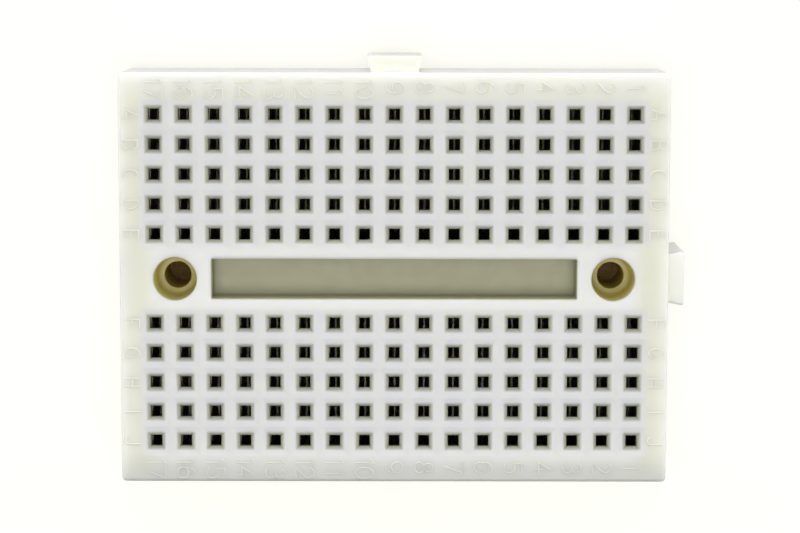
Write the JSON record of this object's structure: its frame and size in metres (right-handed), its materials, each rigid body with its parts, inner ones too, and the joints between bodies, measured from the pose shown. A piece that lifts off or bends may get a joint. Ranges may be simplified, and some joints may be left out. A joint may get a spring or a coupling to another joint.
{
  "type": "solderless breadboard",
  "caption": "Small ivory solderless breadboard: two blocks of sprung tie points either side of a ravine, dovetailed edges, screw holes and a foam tape base.",
  "frame": {"origin": "centre of the housing's rectangle on the underside of the release liner, the face the board rests on", "axes": "+X along the long side, towards column 1 and the end tab; +Y along the short side, towards row A and the side tab; +Z out of the top face"},
  "size_m": [0.048, 0.0364, 0.0095],
  "materials": {
    "housing_plastic": "warm ivory ABS, satin moulded surface, slightly translucent",
    "contact_metal": "nickel-plated phosphor bronze spring sheet",
    "foam": "closed-cell foam tape, fine cut cells on its edge",
    "liner_paper": "silicone-coated release paper, slight sheen"
  },
  "bodies": {
    "release_liner": {"release_liner": "liner_paper"},
    "board": {"housing": "housing_plastic", "contact_clip_a_to_e_01": "contact_metal", "contact_clip_a_to_e_02": "contact_metal", "contact_clip_a_to_e_03": "contact_metal", "contact_clip_a_to_e_04": "contact_metal", "contact_clip_a_to_e_05": "contact_metal", "contact_clip_a_to_e_06": "contact_metal", "contact_clip_a_to_e_07": "contact_metal", "contact_clip_a_to_e_08": "contact_metal", "contact_clip_a_to_e_09": "contact_metal", "contact_clip_a_to_e_10": "contact_metal", "contact_clip_a_to_e_11": "contact_metal", "contact_clip_a_to_e_12": "contact_metal", "contact_clip_a_to_e_13": "contact_metal", "contact_clip_a_to_e_14": "contact_metal", "contact_clip_a_to_e_15": "contact_metal", "contact_clip_a_to_e_16": "contact_metal", "contact_clip_a_to_e_17": "contact_metal", "contact_clip_f_to_j_01": "contact_metal", "contact_clip_f_to_j_02": "contact_metal", "contact_clip_f_to_j_03": "contact_metal", "contact_clip_f_to_j_04": "contact_metal", "contact_clip_f_to_j_05": "contact_metal", "contact_clip_f_to_j_06": "contact_metal", "contact_clip_f_to_j_07": "contact_metal", "contact_clip_f_to_j_08": "contact_metal", "contact_clip_f_to_j_09": "contact_metal", "contact_clip_f_to_j_10": "contact_metal", "contact_clip_f_to_j_11": "contact_metal", "contact_clip_f_to_j_12": "contact_metal", "contact_clip_f_to_j_13": "contact_metal", "contact_clip_f_to_j_14": "contact_metal", "contact_clip_f_to_j_15": "contact_metal", "contact_clip_f_to_j_16": "contact_metal", "contact_clip_f_to_j_17": "contact_metal", "foam_pad": "foam"}
  },
  "joints": [
    {"name": "liner_peel", "type": "slide", "parent": "release_liner", "child": "board", "axis": [0, 0, 1], "range_m": [0, 0.03]}
  ]
}
